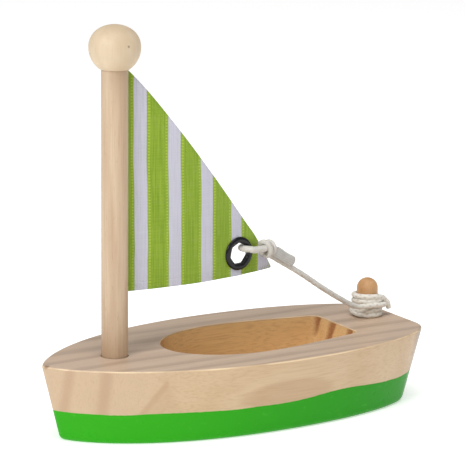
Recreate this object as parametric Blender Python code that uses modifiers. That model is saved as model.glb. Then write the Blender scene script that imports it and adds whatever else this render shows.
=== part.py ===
"""A small wooden toy sailing boat: a hull with a milled cockpit, a turning mast with a ball on
top, a cloth sail in a slot of the mast, and a sheet (cord) made fast on a cleat peg.

Frame: +X towards the bow, +Y to port, +Z up, metres. The origin lies under the middle of the
hull, on the plane that the hull stands on.
"""

import math

import bmesh
import bpy
from mathutils import Vector
from mathutils.geometry import interpolate_bezier

GAP = 0.0003  # clearance between two solids that touch on the real toy
FIT_GAP = 0.0002  # clearance of a dowel that is glued or pressed into its hole

# Hull
HULL_LENGTH = 0.158
HULL_BEAM = 0.0758
HULL_HEIGHT = 0.0295
FLARE = 0.0071  # how far the sides lean in from the deck to the bottom
SHEER_RADIUS = 0.0008
CHINE_RADIUS = 0.0028
STERN_X = -HULL_LENGTH / 2
STEM_X = HULL_LENGTH / 2
BEAM_X = -0.010  # station of the greatest beam
TRANSOM_HALF = 0.0195
TRANSOM_CORNER = 0.0045

# Cockpit, milled into the deck
COCKPIT_AFT_X = -0.0504
COCKPIT_FRONT_X = 0.0272
COCKPIT_WIDE_X = -0.0050
COCKPIT_HALF = 0.0219
COCKPIT_AFT_HALF = 0.0154
COCKPIT_CORNER = 0.0030
COCKPIT_FLOOR_Z = 0.0115
COCKPIT_RIM_RADIUS = 0.0005
COCKPIT_FLOOR_RADIUS = 0.0025

# Mast and ball
MAST_X = 0.049
MAST_RADIUS = 0.0050
MAST_TOP_Z = 0.1430
SOCKET_DEPTH = 0.0120
BALL_Z = 0.1454
BALL_RADIUS = 0.00965
BALL_TOP_HALF = 0.0085  # the ball's crown is a little flattened

# Sail
SAIL_THICKNESS = 0.0008
SLOT_WIDTH = SAIL_THICKNESS + 2 * GAP
SLOT_DEPTH = 0.0030
LUFF_X = MAST_X - MAST_RADIUS + SLOT_DEPTH - GAP
CLOTH_X = MAST_X - MAST_RADIUS  # where the cloth leaves the mast
CLEW_X = -0.0190
HEAD_Z = 0.1368
TACK_Z = 0.0535
CLEW_Z = 0.0556
LEECH_CORNER = (-0.0118, 0.0676)  # the leech runs steeply down from here to the clew
LEECH_ROUND = 0.0052
BELLY = 0.0046

# Eyelet
EYELET_X = -0.0023
EYELET_Z = 0.0637
EYELET_HOLE_RADIUS = 0.0039
EYELET_BARREL_RADIUS = 0.0044
EYELET_RADIUS = 0.0065
EYELET_HEIGHT = 0.0011
WASHER_HEIGHT = 0.0007

# Cleat peg and cord
PEG_X = -0.0681
PEG_Y = -0.0054
PEG_RADIUS = 0.0042
PEG_TOP_Z = 0.0448
PEG_SOCKET_DEPTH = 0.0100
CORD_DIAMETER = 0.0021
WINDING_RADIUS = 0.0068
WINDING_HEIGHT = 0.0093

ROUND_SIDES = 56


def clear_scene():
    for obj in list(bpy.data.objects):
        bpy.data.objects.remove(obj, do_unlink=True)


def new_collection(name):
    collection = bpy.data.collections.new(name)
    bpy.context.scene.collection.children.link(collection)
    return collection


def principled(name, color, roughness, metallic=0.0):
    material = bpy.data.materials.new(name)
    material.use_nodes = True
    shader = material.node_tree.nodes["Principled BSDF"]
    shader.inputs["Base Color"].default_value = (*color, 1.0)
    shader.inputs["Roughness"].default_value = roughness
    shader.inputs["Metallic"].default_value = metallic
    return material


def link(obj, collection, material=None):
    for other in list(obj.users_collection):
        other.objects.unlink(obj)
    collection.objects.link(obj)
    if material:
        obj.data.materials.clear()
        obj.data.materials.append(material)
    return obj


def as_cutter(obj):
    obj.hide_render = True
    obj.display_type = "WIRE"
    return link(obj, CUTTERS)


def cut(obj, cutter, name):
    boolean = obj.modifiers.new(name, "BOOLEAN")
    boolean.operation = "DIFFERENCE"
    boolean.object = cutter


def smooth_round(mesh):
    mesh.shade_smooth()
    mesh.set_sharp_from_angle(angle=math.radians(35))


def mesh_object(name, bm):
    bmesh.ops.recalc_face_normals(bm, faces=bm.faces)
    mesh = bpy.data.meshes.new(name)
    bm.to_mesh(mesh)
    bm.free()
    smooth_round(mesh)
    return bpy.data.objects.new(name, mesh)


def arc(center, radius, start, end, steps):
    """Points in a plane on an arc, with its angles in degrees."""
    points = []
    for i in range(steps + 1):
        angle = math.radians(start + (end - start) * i / steps)
        points.append((center[0] + radius * math.cos(angle), center[1] + radius * math.sin(angle)))
    return points


def bezier(a, b, c, d, count):
    corners = [Vector((*point, 0.0)) for point in (a, b, c, d)]
    return [(p.x, p.y) for p in interpolate_bezier(*corners, count)]


def rounded_corner(before, corner, after, count=6):
    """A smooth corner: it leaves `before` and reaches `after`, pulled towards `corner`."""
    points = []
    for i in range(count + 1):
        t = i / count
        weights = ((1 - t) ** 2, 2 * t * (1 - t), t**2)
        trio = (before, corner, after)
        points.append(tuple(sum(w * p[k] for w, p in zip(weights, trio)) for k in (0, 1)))
    return points


def mirrored(half):
    """The whole outline from its port half, which starts and ends on the centre line."""
    return half + [(x, -y) for x, y in reversed(half[1:-1])]


def hull_outline(inset):
    """The hull's plan, moved in from the deck's edge by `inset`."""
    stern = STERN_X + inset
    half_beam = HULL_BEAM / 2 - inset
    corner = TRANSOM_HALF - 0.42 * inset
    side = bezier(
        (stern, corner),
        (STERN_X + 0.012 + 0.5 * inset, 0.0310 - 0.87 * inset),
        (STERN_X + 0.038, half_beam),
        (BEAM_X, half_beam),
        20,
    )
    stem = STEM_X - 1.05 * inset
    bow = bezier(
        (BEAM_X, half_beam),
        (BEAM_X + 0.0642 - 0.25 * inset, half_beam),
        (stem, 0.0043 - 0.25 * inset),
        (stem, 0.0),
        28,
    )
    transom = [(stern, (corner - TRANSOM_CORNER) * i / 3) for i in range(3)]
    turn = rounded_corner((stern, corner - TRANSOM_CORNER), side[0], side[2])
    return mirrored(transom + turn + side[3:] + bow[1:])


def cockpit_outline(outset):
    """The cockpit's plan, grown by `outset`."""
    aft = COCKPIT_AFT_X - outset
    half = COCKPIT_HALF + outset
    aft_half = COCKPIT_AFT_HALF + outset
    side = bezier(
        (aft, aft_half),
        (COCKPIT_AFT_X + 0.0175, 0.0178 + outset),
        (COCKPIT_WIDE_X - 0.0165, half),
        (COCKPIT_WIDE_X, half),
        16,
    )
    front = COCKPIT_FRONT_X + outset - COCKPIT_WIDE_X
    nose = [(COCKPIT_WIDE_X + front * x, half * y) for x, y in arc((0, 0), 1, 90, 0, 22)]
    end_wall = [(aft, (aft_half - COCKPIT_CORNER) * i / 3) for i in range(3)]
    turn = rounded_corner((aft, aft_half - COCKPIT_CORNER), side[0], side[2])
    return mirrored(end_wall + turn + side[3:] + nose[1:])


def loft(name, levels):
    """One closed body through outlines of equal length, each given as (z, outline)."""
    bm = bmesh.new()
    rings = [[bm.verts.new((x, y, z)) for x, y in outline] for z, outline in levels]
    for lower, upper in zip(rings, rings[1:]):
        for i in range(len(lower)):
            j = (i + 1) % len(lower)
            bm.faces.new((lower[i], lower[j], upper[j], upper[i]))
    bm.faces.new(rings[0])
    bm.faces.new(rings[-1])
    return mesh_object(name, bm)


def hull_levels():
    """The flared side with a small round at the deck's edge and a larger one at the bottom."""
    lean = math.atan2(FLARE, HULL_HEIGHT)
    lean_deg = math.degrees(lean)
    sheer_z = HULL_HEIGHT - SHEER_RADIUS
    chine_inset = SHEER_RADIUS + (sheer_z - CHINE_RADIUS) * math.tan(lean)
    chine_inset += (CHINE_RADIUS - SHEER_RADIUS) / math.cos(lean)
    levels = []
    for radius, z, inset, start, end in (
        (CHINE_RADIUS, CHINE_RADIUS, chine_inset, -90, -lean_deg),
        (SHEER_RADIUS, sheer_z, SHEER_RADIUS, -lean_deg, 90),
    ):
        for out, up in arc((0, 0), radius, start, end, 5):
            levels.append((z + up, hull_outline(inset - out)))
    return levels


def cockpit_levels():
    levels = []
    for out, up in arc((0, 0), COCKPIT_FLOOR_RADIUS, -90, 0, 4):
        z = COCKPIT_FLOOR_Z + COCKPIT_FLOOR_RADIUS + up
        levels.append((z, cockpit_outline(out - COCKPIT_FLOOR_RADIUS)))
    for out, up in arc((0, 0), COCKPIT_RIM_RADIUS, 180, 100, 3):
        z = HULL_HEIGHT - COCKPIT_RIM_RADIUS + up
        levels.append((z, cockpit_outline(COCKPIT_RIM_RADIUS + out)))
    levels.append((HULL_HEIGHT + 0.002, cockpit_outline(COCKPIT_RIM_RADIUS)))
    return levels


def cylinder(name, radius, bottom, top, x=0.0, y=0.0):
    bpy.ops.mesh.primitive_cylinder_add(
        vertices=ROUND_SIDES, radius=radius, depth=top - bottom, location=(x, y, (bottom + top) / 2)
    )
    obj = bpy.context.object
    obj.name = name
    smooth_round(obj.data)
    return obj


def turned(name, profile, closed=False):
    """A turned shape about Z. The profile lies at +X and runs down its outer side."""
    mesh = bpy.data.meshes.new(name)
    edges = [(i, i + 1) for i in range(len(profile) - 1)]
    if closed:
        edges.append((len(profile) - 1, 0))
    mesh.from_pydata([(x, 0.0, z) for x, z in profile], edges, [])
    obj = bpy.data.objects.new(name, mesh)
    screw = obj.modifiers.new("Turn", "SCREW")
    screw.steps = ROUND_SIDES
    screw.render_steps = ROUND_SIDES
    screw.use_merge_vertices = True
    screw.merge_threshold = 1e-6
    return obj


def build_hull():
    hull = loft("hull", hull_levels())
    link(hull, BOAT, principled("pine hull", (0.63, 0.46, 0.28), 0.45))
    cut(hull, as_cutter(loft("cockpit_cutter", cockpit_levels())), "Cockpit")
    above = HULL_HEIGHT + 0.002
    mast_hole = cylinder(
        "mast_socket_cutter", MAST_RADIUS + GAP, HULL_HEIGHT - SOCKET_DEPTH, above, MAST_X
    )
    cut(hull, as_cutter(mast_hole), "Mast socket")
    peg_hole = cylinder(
        "peg_socket_cutter", PEG_RADIUS + FIT_GAP, HULL_HEIGHT - PEG_SOCKET_DEPTH, above, PEG_X, PEG_Y
    )
    cut(hull, as_cutter(peg_hole), "Peg socket")


def build_mast(axis):
    foot = HULL_HEIGHT - SOCKET_DEPTH + GAP
    mast = cylinder("mast", MAST_RADIUS, foot, MAST_TOP_Z)
    link(mast, BOAT, principled("beech mast", (0.70, 0.53, 0.36), 0.5))
    mast.parent = axis
    slot_bottom = TACK_Z - GAP
    slot_top = MAST_TOP_Z + 0.002
    bpy.ops.mesh.primitive_cube_add(size=1, location=(MAST_X - MAST_RADIUS, 0, (slot_bottom + slot_top) / 2))
    slot = bpy.context.object
    slot.name = "slot_cutter"
    slot.dimensions = (2 * SLOT_DEPTH, SLOT_WIDTH, slot_top - slot_bottom)
    cut(mast, as_cutter(slot), "Sail slot")


def build_ball(axis):
    """A turned ball with a blind hole that sits over the mast's top."""
    hole = MAST_RADIUS + FIT_GAP
    crown = [
        (BALL_RADIUS * math.sin(a), BALL_TOP_HALF * math.cos(a) ** 0.9)
        for a in (math.radians(90 * i / 16) for i in range(16))
    ]
    mouth = -math.degrees(math.acos(hole / BALL_RADIUS))
    lower = arc((0, 0), BALL_RADIUS, 0, mouth, 12)
    hole_top = MAST_TOP_Z + GAP - BALL_Z
    profile = crown + lower + [(hole, hole_top), (0.0, hole_top)]
    ball = turned("mast_ball", profile)
    link(ball, BOAT, principled("beech ball", (0.80, 0.65, 0.46), 0.5))
    ball.parent = axis
    ball.location = (0, 0, BALL_Z)


def build_peg():
    dome = arc((0, PEG_TOP_Z - PEG_RADIUS), PEG_RADIUS, 90, 0, 12)
    foot = HULL_HEIGHT - PEG_SOCKET_DEPTH + GAP
    peg = turned("cleat_peg", dome + [(PEG_RADIUS, foot), (0.0, foot)])
    link(peg, BOAT, principled("beech peg", (0.62, 0.40, 0.20), 0.5))
    peg.location = (PEG_X, PEG_Y, 0)


def cloth_y(x):
    """How far the sail's cloth stands out to port at station x; it leaves the slot flat."""
    share = (CLOTH_X - x) / (CLOTH_X - CLEW_X)
    if share <= 0:
        return 0.0
    easing = 1 - math.exp(-share / 0.03)
    return 4 * BELLY * share * (1 - share) * easing


def cloth_normal(x):
    """The cloth's unit normal towards port at station x."""
    step = 1e-5
    slope = (cloth_y(x + step) - cloth_y(x - step)) / (2 * step)
    return Vector((-slope, 1, 0)).normalized()


def leech_z(x):
    """The sail's upper edge: level in the slot, then down the leech to the clew."""
    if x >= CLOTH_X:
        return HEAD_Z
    corner_x, corner_z = LEECH_CORNER
    if x >= corner_x:
        share = (CLOTH_X - x) / (CLOTH_X - corner_x)
        swell = LEECH_ROUND * math.sqrt(share) * (1 - share) ** 1.5
        return HEAD_Z + (corner_z - HEAD_Z) * share + swell
    tip_z = CLEW_Z + 0.0012
    return corner_z + (tip_z - corner_z) * (corner_x - x) / (corner_x - CLEW_X)


def foot_z(x):
    share = max(0.0, CLOTH_X - x) / (CLOTH_X - CLEW_X)
    return TACK_Z + (CLEW_Z - TACK_Z) * share**0.8


def sail_stations():
    in_slot = [LUFF_X, (LUFF_X + CLOTH_X) / 2, CLOTH_X]
    count = 22
    corner_x = LEECH_CORNER[0]
    cloth = [CLOTH_X + (corner_x - CLOTH_X) * i / count for i in range(1, count + 1)]
    return in_slot + cloth + [corner_x + (CLEW_X - corner_x) * i / 4 for i in range(1, 5)]


def build_sail(axis):
    """A curved sheet on upright rulings, thickened, with the eyelet's hole cut through."""
    rows = 8
    bm = bmesh.new()
    columns = []
    for x in sail_stations():
        low, high = foot_z(x), leech_z(x)
        heights = [low + (high - low) * i / rows for i in range(rows + 1)]
        columns.append([bm.verts.new((x, cloth_y(x), z)) for z in heights])
    for a, b in zip(columns, columns[1:]):
        for i in range(rows):
            bm.faces.new((a[i], a[i + 1], b[i + 1], b[i]))
    sail = mesh_object("sail", bm)
    link(sail, BOAT, principled("striped cotton", (0.27, 0.40, 0.07), 0.9))
    solidify = sail.modifiers.new("Cloth", "SOLIDIFY")
    solidify.thickness = SAIL_THICKNESS
    solidify.offset = 0
    hole = cylinder("eyelet_cutter", EYELET_BARREL_RADIUS + GAP, -0.004, 0.004)
    place_on_cloth(hole)
    cut(sail, as_cutter(hole), "Eyelet hole")
    hang(sail, axis)


def place_on_cloth(obj):
    """Puts an object's Z axis on the cloth's normal at the eyelet."""
    obj.location = (EYELET_X, cloth_y(EYELET_X), EYELET_Z)
    obj.rotation_euler = cloth_normal(EYELET_X).to_track_quat("Z", "Y").to_euler()


def hang(obj, axis):
    """Parents an object to the mast's axis and leaves it where it is."""
    bpy.context.view_layer.update()
    obj.parent = axis
    obj.matrix_parent_inverse = axis.matrix_world.inverted()


def build_eyelet(axis):
    face = SAIL_THICKNESS / 2 + GAP
    crest = EYELET_HEIGHT
    middle = (EYELET_HOLE_RADIUS + EYELET_RADIUS) / 2
    half = (EYELET_RADIUS - EYELET_HOLE_RADIUS) / 2
    roll = [
        (middle + half * math.cos(a), face + crest * math.sin(a) ** 0.8)
        for a in (math.radians(180 - 180 * i / 12) for i in range(13))
    ]
    back = face + WASHER_HEIGHT + GAP
    profile = roll + [(EYELET_BARREL_RADIUS, face), (EYELET_BARREL_RADIUS, -back), (EYELET_HOLE_RADIUS, -back)]
    flange = turned("eyelet_flange", profile, closed=True)
    link(flange, BOAT, principled("black eyelet", (0.02, 0.02, 0.025), 0.3, 0.6))
    inner = EYELET_BARREL_RADIUS + GAP
    near = -face - 0.0001
    far = -face - WASHER_HEIGHT
    ring = [(inner, near), (EYELET_RADIUS, near), (EYELET_RADIUS - 0.0003, far), (inner, far)]
    washer = turned("eyelet_washer", ring, closed=True)
    link(washer, BOAT, principled("black washer", (0.02, 0.02, 0.025), 0.35, 0.6))
    for piece in (flange, washer):
        place_on_cloth(piece)
        hang(piece, axis)


def smooth_route(points, per_span):
    """Points on a Catmull-Rom curve through the route's own points."""
    route = [Vector(p) for p in points]
    ends = [2 * route[0] - route[1], *route, 2 * route[-1] - route[-2]]
    curve = []
    for a, b, c, d in zip(ends, ends[1:], ends[2:], ends[3:]):
        for i in range(per_span):
            t = i / per_span
            curve.append(
                0.5 * (2 * b + (c - a) * t + (2 * a - 5 * b + 4 * c - d) * t**2 + (3 * b - a - 3 * c + d) * t**3)
            )
    return curve + [route[-1]]


def tube(name, points, diameter, material):
    curve = bpy.data.curves.new(name, "CURVE")
    curve.dimensions = "3D"
    curve.bevel_depth = diameter / 2
    curve.bevel_resolution = 2
    curve.use_fill_caps = True
    spline = curve.splines.new("POLY")
    spline.points.add(len(points) - 1)
    for target, point in zip(spline.points, points):
        target.co = (*point, 1.0)
    return link(bpy.data.objects.new(name, curve), BOAT, material)


def eyelet_point(aft, out, up):
    """A point beside the eyelet: along the cloth towards the clew, out to port, and up."""
    normal = cloth_normal(EYELET_X)
    along = Vector((-normal.y, normal.x, 0))
    center = Vector((EYELET_X, cloth_y(EYELET_X), EYELET_Z))
    return center + along * aft + normal * out + Vector((0, 0, up))


KNOT = Vector((-0.0154, 0.0037, 0.0641))
KNOT_SIZE = Vector((0.0027, 0.0017, 0.0033))
TAIL_START = Vector((-0.0185, 0.0036, 0.0622))
TAIL_END = Vector((-0.0286, 0.0026, 0.0576))
TAIL_WIDTH = 0.0041
TAIL_THICKNESS = 0.0012
RUN_ROUTE = [
    (-0.0189, 0.0009, 0.0603),
    (-0.0321, 0.0009, 0.0521),
    (-0.0430, 0.0009, 0.0446),
    (-0.0537, 0.0009, 0.0379),
    (-0.0590, 0.0009, 0.0354),
    (-0.0630, 0.0009, 0.0341),
]
END_ROUTE = [(-0.0753, -0.0015, 0.0347), (-0.0756, -0.0014, 0.0334), (-0.0760, -0.0013, 0.0321)]


def build_cord_at_clew(axis, cord):
    """The loop through the eyelet and round the leech, its knot, and the flat tail."""
    front = EYELET_HEIGHT + 0.0008 + CORD_DIAMETER / 2 + GAP
    back = WASHER_HEIGHT + 0.0013 + CORD_DIAMETER / 2 + GAP
    route = [
        eyelet_point(0.0093, front - 0.0009, 0.0009),
        eyelet_point(0.0072, front - 0.0001, 0.0009),
        eyelet_point(0.0052, front + 0.0001, 0.0011),
        eyelet_point(0.0029, front - 0.0006, 0.0016),
        eyelet_point(0.0016, 0.0008, 0.0019),
        eyelet_point(0.0019, -back + 0.0008, 0.0017),
        eyelet_point(0.0043, -back - 0.0002, 0.0012),
        eyelet_point(0.0088, -back - 0.0004, 0.0002),
        eyelet_point(0.0128, -0.0032, -0.0011),
        eyelet_point(0.0149, -0.0018, -0.0015),
    ]
    loop = tube("cord_loop", smooth_route(route, 4), CORD_DIAMETER, cord)
    hang(loop, axis)
    bm = bmesh.new()
    bmesh.ops.create_uvsphere(bm, u_segments=24, v_segments=14, radius=1.0)
    bmesh.ops.scale(bm, vec=KNOT_SIZE, verts=bm.verts)
    knot = link(mesh_object("cord_knot", bm), BOAT, cord)
    knot.location = KNOT
    hang(knot, axis)
    bpy.ops.mesh.primitive_cube_add(size=1)
    tail = bpy.context.object
    tail.name = "cord_tail"
    along = TAIL_END - TAIL_START
    tail.dimensions = (along.length, TAIL_THICKNESS, TAIL_WIDTH)
    bpy.ops.object.transform_apply(location=False, rotation=False, scale=True)
    tail.location = (TAIL_START + TAIL_END) / 2
    tail.rotation_euler = (0, math.atan2(along.z, -along.x), 0)
    bevel = tail.modifiers.new("Round", "BEVEL")
    bevel.width = 0.0005
    bevel.segments = 3
    link(tail, BOAT, cord)
    hang(tail, axis)


def build_belayed_cord(cord):
    """The taut run to the peg, the turns round it as one ring, and the cut end."""
    tube("cord_run", smooth_route(RUN_ROUTE, 5), CORD_DIAMETER, cord)
    inner = PEG_RADIUS + GAP
    low = HULL_HEIGHT + GAP
    high = low + WINDING_HEIGHT
    slim = WINDING_RADIUS - 0.0009
    ring = [
        (inner, high),
        (slim - 0.0008, high),
        (slim, high - 0.0010),
        (slim, high - 0.0020),
        (WINDING_RADIUS, high - 0.0033),
        (WINDING_RADIUS, high - 0.0060),
        (slim, low + 0.0015),
        (slim - 0.0010, low),
        (inner, low),
    ]
    winding = turned("cord_winding", ring, closed=True)
    winding.location = (PEG_X, PEG_Y, 0)
    link(winding, BOAT, cord)
    tube("cord_end", smooth_route(END_ROUTE, 3), CORD_DIAMETER, cord)


def build():
    axis = bpy.data.objects.new("mast_axis", None)
    BOAT.objects.link(axis)
    axis.location = (MAST_X, 0, 0)
    build_hull()
    build_mast(axis)
    build_ball(axis)
    build_peg()
    build_sail(axis)
    build_eyelet(axis)
    cord = principled("cotton cord", (0.75, 0.71, 0.64), 0.9)
    build_cord_at_clew(axis, cord)
    build_belayed_cord(cord)


clear_scene()
BOAT = new_collection("toy_boat")
CUTTERS = new_collection("cutters")
build()
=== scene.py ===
"""The toy sailing boat's looks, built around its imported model.

The frame is the model's own: +X towards the bow, +Y to port, +Z up, the origin on the floor under
the middle of the hull. Lengths in this script are millimetres. `finished` turns a mesh into metres.
"""

import math

import bmesh
import bpy
from mathutils import Matrix, Quaternion, Vector, noise
from mathutils.geometry import interpolate_bezier


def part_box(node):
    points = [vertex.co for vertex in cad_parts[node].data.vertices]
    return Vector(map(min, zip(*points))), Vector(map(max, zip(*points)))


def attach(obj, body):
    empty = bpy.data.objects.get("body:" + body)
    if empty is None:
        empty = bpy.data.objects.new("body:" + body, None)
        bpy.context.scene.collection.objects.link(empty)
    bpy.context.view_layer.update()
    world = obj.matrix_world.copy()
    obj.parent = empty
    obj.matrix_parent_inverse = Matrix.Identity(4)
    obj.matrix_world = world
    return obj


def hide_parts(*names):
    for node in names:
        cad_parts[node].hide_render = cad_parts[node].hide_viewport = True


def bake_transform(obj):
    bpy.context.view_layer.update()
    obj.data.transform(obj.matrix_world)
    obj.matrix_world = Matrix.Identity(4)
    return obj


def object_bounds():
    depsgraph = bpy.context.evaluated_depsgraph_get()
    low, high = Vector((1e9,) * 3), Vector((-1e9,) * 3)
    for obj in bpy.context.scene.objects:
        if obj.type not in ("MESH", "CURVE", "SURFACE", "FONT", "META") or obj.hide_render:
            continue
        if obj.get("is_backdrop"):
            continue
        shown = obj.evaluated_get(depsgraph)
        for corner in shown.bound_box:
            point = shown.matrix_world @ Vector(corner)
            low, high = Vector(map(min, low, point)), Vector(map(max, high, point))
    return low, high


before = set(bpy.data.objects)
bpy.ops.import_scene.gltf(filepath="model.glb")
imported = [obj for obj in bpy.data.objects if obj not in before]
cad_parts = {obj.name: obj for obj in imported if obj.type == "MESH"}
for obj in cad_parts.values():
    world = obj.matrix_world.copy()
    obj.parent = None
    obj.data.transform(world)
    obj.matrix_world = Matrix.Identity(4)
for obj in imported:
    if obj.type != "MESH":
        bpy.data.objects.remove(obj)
CAD_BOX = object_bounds()

MM = 0.001

# Camera: the photograph's angle, with a slight roll
CAMERA_PLACE = Vector((478.3, 793.3, 277.1))
CAMERA_TARGET = Vector((8.20, 16.61, 75.46))
CAMERA_ROLL = math.radians(0.608)
CAMERA_LENS = 193.5


def box_mm(node):
    """A CAD node's lowest and highest corners, in millimetres."""
    low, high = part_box(node)
    return low / MM, high / MM


HULL_LOW, HULL_HIGH = box_mm("hull")
MAST_LOW, MAST_HIGH = box_mm("mast")
BALL_LOW, BALL_HIGH = box_mm("mast_ball")
PEG_LOW, PEG_HIGH = box_mm("cleat_peg")

# Hull
HULL_HEIGHT = HULL_HIGH.z
HALF_BEAM = HULL_HIGH.y
STERN_X = HULL_LOW.x
STEM_X = HULL_HIGH.x
FLARE = 7.1
SHEER_RADIUS = 0.8
CHINE_RADIUS = 2.8
BEAM_X = -10.0
TRANSOM_HALF = 19.5
TRANSOM_CORNER = 5.5

# Cockpit
COCKPIT_AFT_X = -50.4
COCKPIT_FRONT_X = 27.2
COCKPIT_WIDE_X = -5.0
COCKPIT_HALF = 21.9
COCKPIT_AFT_HALF = 15.4
COCKPIT_CORNER = 3.0
COCKPIT_FLOOR_Z = 11.5
COCKPIT_RIM_RADIUS = 0.5
COCKPIT_FLOOR_RADIUS = 2.5
CUTTER_PITCH = 0.9

# Mast, ball and peg
MAST_X = (MAST_LOW.x + MAST_HIGH.x) / 2
MAST_RADIUS = (MAST_HIGH.y - MAST_LOW.y) / 2
SOCKET_DEPTH = 12.0
SOCKET_GAP = 0.25
SLOT_WIDTH = 1.4
SLOT_DEPTH = 3.0
BALL_RADIUS = (BALL_HIGH.y - BALL_LOW.y) / 2
BALL_TOP_HALF = 8.5
BALL_Z = BALL_HIGH.z - BALL_TOP_HALF
PEG_X = (PEG_LOW.x + PEG_HIGH.x) / 2
PEG_Y = (PEG_LOW.y + PEG_HIGH.y) / 2
PEG_RADIUS = (PEG_HIGH.x - PEG_LOW.x) / 2
PEG_SOCKET_DEPTH = 10.0

# Sail
CLOTH_THICKNESS = 0.5
CLOTH_X = MAST_X - MAST_RADIUS
LUFF_X = CLOTH_X + SLOT_DEPTH - 0.3
CLEW_X = -19.0
HEAD_Z = 136.8
TACK_Z = 53.5
CLEW_Z = 55.6
LEECH_CORNER = (-11.8, 67.6)
LEECH_ROUND = 5.2
BELLY = 4.6
FIRST_GREEN = 3.0
STRIPE_PITCH = 13.35
WHITE_WIDTH = 5.15
WEAVE_PITCH = 0.56
DOT_PITCH = 1.15
STITCH_PITCH = 0.95
HEM_WIDTH = 3.0

# Eyelet
EYELET_X = -2.3
EYELET_Z = 63.7
EYELET_RADIUS = 6.45
EYELET_HOLE = 4.15
EYELET_FACE = CLOTH_THICKNESS / 2 + 0.12
EYELET_GAP = 0.15
BARREL_RADIUS = 4.5
PETALS = 7

# Cord
CORD_DIAMETER = 2.1
LOOP_DIAMETER = 1.2 * CORD_DIAMETER
KNOT_DIAMETER = 0.92 * CORD_DIAMETER
BRAID_PITCH = 3.4
BRAID_DEPTH = 0.06
BRAID_CREST = 0.03
CORD_WANDER = 0.05
PALE_CORD_X = -56.0
CORD_STEP = 0.17
CORD_SIDES = 20


# ---------------------------------------------------------------- stage


def place_camera():
    data = bpy.data.cameras.new("camera")
    data.lens = CAMERA_LENS
    data.sensor_width = 36.0
    data.clip_start = 0.01
    data.clip_end = 50.0
    camera = bpy.data.objects.new("camera", data)
    look = (CAMERA_TARGET - CAMERA_PLACE).to_track_quat("-Z", "Y")
    camera.rotation_mode = "QUATERNION"
    camera.rotation_quaternion = look @ Quaternion((0, 0, 1), CAMERA_ROLL)
    camera.location = CAMERA_PLACE * MM
    bpy.context.scene.collection.objects.link(camera)
    bpy.context.scene.camera = camera


def area_light(name, place, target, size, power):
    data = bpy.data.lights.new(name, "AREA")
    data.shape = "DISK"
    data.size = size
    data.energy = power
    light = bpy.data.objects.new(name, data)
    light.location = place
    light.rotation_euler = (Vector(target) - Vector(place)).to_track_quat("-Z", "Y").to_euler()
    bpy.context.scene.collection.objects.link(light)


def light_studio():
    """A pale room, a large soft key off the port bow, and a softbox overhead."""
    world = bpy.data.worlds.new("studio")
    world.use_nodes = True
    sky = world.node_tree.nodes["Background"]
    sky.inputs["Color"].default_value = (1.0, 1.0, 1.0, 1.0)
    sky.inputs["Strength"].default_value = 0.38
    bpy.context.scene.world = world
    middle = (0.0, 0.0, 0.06)
    area_light("key", (1.40, 0.60, 1.10), middle, 0.8, 13.0)
    area_light("overhead", (0.1, 0.4, 1.6), middle, 1.2, 12.5)
    bpy.context.scene.view_settings.view_transform = "Standard"


def lay_floor():
    bm = bmesh.new()
    bmesh.ops.create_grid(bm, x_segments=2, y_segments=2, size=6000.0)
    graph = Graph("pale floor")
    grain = graph.grain(0.05)
    graph.color(graph.mix(grain, (0.90, 0.90, 0.90), (0.93, 0.93, 0.93)))
    graph.set("Emission Color", (1.0, 1.0, 1.0))
    graph.set("Emission Strength", 0.46)
    graph.set("Roughness", 0.9)
    graph.set("Specular IOR Level", 0.0)
    floor = finished("floor", bm, graph.material)
    floor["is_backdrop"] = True


# ---------------------------------------------------------------- meshes


def finished(name, bm, material, sharp_degrees=35.0, flat_caps=False):
    """The object made of a mesh in millimetres: in metres, shaded, with its material."""
    bmesh.ops.transform(bm, matrix=Matrix.Scale(MM, 4), verts=bm.verts)
    mesh = bpy.data.meshes.new(name)
    bm.to_mesh(mesh)
    bm.free()
    obj = bpy.data.objects.new(name, mesh)
    bpy.context.scene.collection.objects.link(obj)
    obj.data.materials.append(material)
    shade(obj, sharp_degrees, flat_caps)
    return obj


def is_level(face):
    return abs(face.normal.z) > 0.9999


def shade(obj, sharp_degrees, flat_caps):
    """Smooth shading with sharp edges past an angle. Level faces can stay truly flat."""
    mesh = obj.data
    mesh.shade_smooth()
    mesh.set_sharp_from_angle(angle=math.radians(sharp_degrees))
    if not flat_caps:
        return
    bm = bmesh.new()
    bm.from_mesh(mesh)
    for face in bm.faces:
        if is_level(face):
            for edge in face.edges:
                edge.smooth = all(is_level(neighbour) for neighbour in edge.link_faces)
    bm.to_mesh(mesh)
    bm.free()


def arc(center, radius, start, end, steps):
    """Points in a plane on an arc, with its angles in degrees."""
    points = []
    for i in range(steps + 1):
        angle = math.radians(start + (end - start) * i / steps)
        points.append((center[0] + radius * math.cos(angle), center[1] + radius * math.sin(angle)))
    return points


def bezier(a, b, c, d, count):
    corners = [Vector((*point, 0.0)) for point in (a, b, c, d)]
    return [(p.x, p.y) for p in interpolate_bezier(*corners, count)]


def rounded_corner(before, corner, after, count=10):
    """A smooth corner: it leaves `before` and reaches `after`, pulled towards `corner`."""
    points = []
    for i in range(count + 1):
        t = i / count
        weights = ((1 - t) ** 2, 2 * t * (1 - t), t**2)
        trio = (before, corner, after)
        points.append(tuple(sum(w * p[k] for w, p in zip(weights, trio)) for k in (0, 1)))
    return points


def mirrored(half):
    """The whole outline from its port half, which starts and ends on the centre line."""
    return half + [(x, -y) for x, y in reversed(half[1:-1])]


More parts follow.
